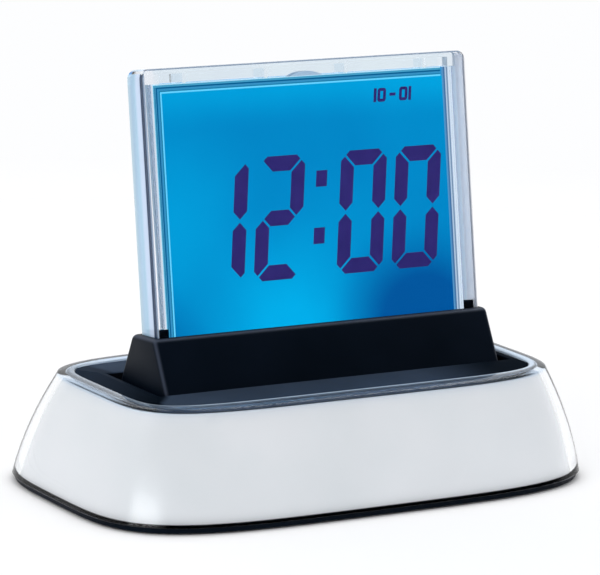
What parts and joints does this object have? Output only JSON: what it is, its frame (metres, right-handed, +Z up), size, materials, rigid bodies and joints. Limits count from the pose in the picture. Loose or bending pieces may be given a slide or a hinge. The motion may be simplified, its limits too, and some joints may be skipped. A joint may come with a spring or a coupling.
{
  "type": "digital desk clock",
  "caption": "Desk clock with a clear-cased blue liquid-crystal display leaning in a black cradle on a flared white base under a clear cover; the cradle presses down for snooze.",
  "frame": {"origin": "on the table, under the middle of the base", "axes": "+X to the viewer's right, +Y to the back, +Z up"},
  "size_m": [0.1212, 0.076, 0.0924],
  "materials": {
    "clear_plastic": "clear polished styrene",
    "white_plastic": "smooth white moulding seen through the clear cover",
    "black_gloss": "glossy black moulding",
    "black_satin": "satin black moulding",
    "foot_rubber": "matte rubber pad",
    "screw_steel": "plated steel",
    "lcd_glass": "polished plate glass",
    "lcd_blue": "blue backlit plate glass",
    "lcd_ink": "dark violet lit segments",
    "light_guide": "edge-lit clear acrylic",
    "white_sheet": "white reflecting film",
    "board": "green solder mask",
    "led_lens": "clear moulded lamp",
    "ribbon": "amber flexible film",
    "switch_body": "dark moulding",
    "resin": "black resin",
    "socket_body": "cream moulding",
    "contact_metal": "nickel plated strip",
    "cell_jacket": "plain dark cell jacket",
    "red_insulation": "vinyl insulation",
    "black_insulation": "vinyl insulation",
    "grey_plastic": "light grey moulding"
  },
  "bodies": {
    "base": {"clear_cover": "clear_plastic", "white_liner": "white_plastic", "deck": "black_gloss", "bottom_plate": "black_satin", "rubber_feet": "foot_rubber", "base_screws": "screw_steel", "main_board": "board", "board_screws": "screw_steel", "clock_chip": "resin", "crystal": "screw_steel", "buzzer": "resin", "set_switches": "switch_body", "snooze_switch": "switch_body", "alarm_switch": "screw_steel", "ribbon_socket": "socket_body", "contact_plates": "contact_metal", "contact_springs": "contact_metal", "front_cell": "cell_jacket", "middle_cell": "cell_jacket", "rear_cell": "cell_jacket", "positive_lead": "red_insulation", "negative_lead": "black_insulation", "return_spring_left": "screw_steel", "return_spring_right": "screw_steel"},
    "display": {"cradle": "black_satin", "cradle_floor": "black_satin", "cradle_screws": "screw_steel", "display_foot": "black_satin", "front_window": "clear_plastic", "rear_shell": "clear_plastic", "lcd_front_glass": "lcd_glass", "lcd_rear_glass": "lcd_blue", "lcd_segments": "lcd_ink", "lcd_fill_plug": "clear_plastic", "light_guide": "light_guide", "reflector_sheet": "white_sheet", "led_board": "board", "leds": "led_lens", "display_ribbon": "ribbon", "snooze_plunger": "switch_body"},
    "door": {"battery_door": "black_satin"},
    "mode_key": {"mode_button": "grey_plastic", "mode_plunger": "switch_body"},
    "set_key": {"set_button": "grey_plastic", "set_plunger": "switch_body"},
    "up_key": {"up_button": "grey_plastic", "up_plunger": "switch_body"},
    "down_key": {"down_button": "grey_plastic", "down_plunger": "switch_body"},
    "alarm_slider": {"alarm_knob": "grey_plastic", "alarm_lever": "switch_body"}
  },
  "joints": [
    {"name": "display_press", "type": "slide", "parent": "base", "child": "display", "axis": [0, 0, -1], "range_m": [0, 0.001], "stiffness_N_per_m": 600, "springref_m": -0.003, "deforming": ["return_spring_left", "return_spring_right", "display_ribbon"]},
    {"name": "mode_press", "type": "slide", "parent": "base", "child": "mode_key", "axis": [0, 0, 1], "range_m": [0, 0.0005], "stiffness_N_per_m": 1000, "springref_m": -0.001},
    {"name": "set_press", "type": "slide", "parent": "base", "child": "set_key", "axis": [0, 0, 1], "range_m": [0, 0.0005], "stiffness_N_per_m": 1000, "springref_m": -0.001},
    {"name": "up_press", "type": "slide", "parent": "base", "child": "up_key", "axis": [0, 0, 1], "range_m": [0, 0.0005], "stiffness_N_per_m": 1000, "springref_m": -0.001},
    {"name": "down_press", "type": "slide", "parent": "base", "child": "down_key", "axis": [0, 0, 1], "range_m": [0, 0.0005], "stiffness_N_per_m": 1000, "springref_m": -0.001},
    {"name": "alarm_slide", "type": "slide", "parent": "base", "child": "alarm_slider", "axis": [1, 0, 0], "range_m": [0, 0.0025]},
    {"name": "door_slide", "type": "slide", "parent": "base", "child": "door", "axis": [0, 1, 0], "range_m": [0, 0.008]}
  ]
}
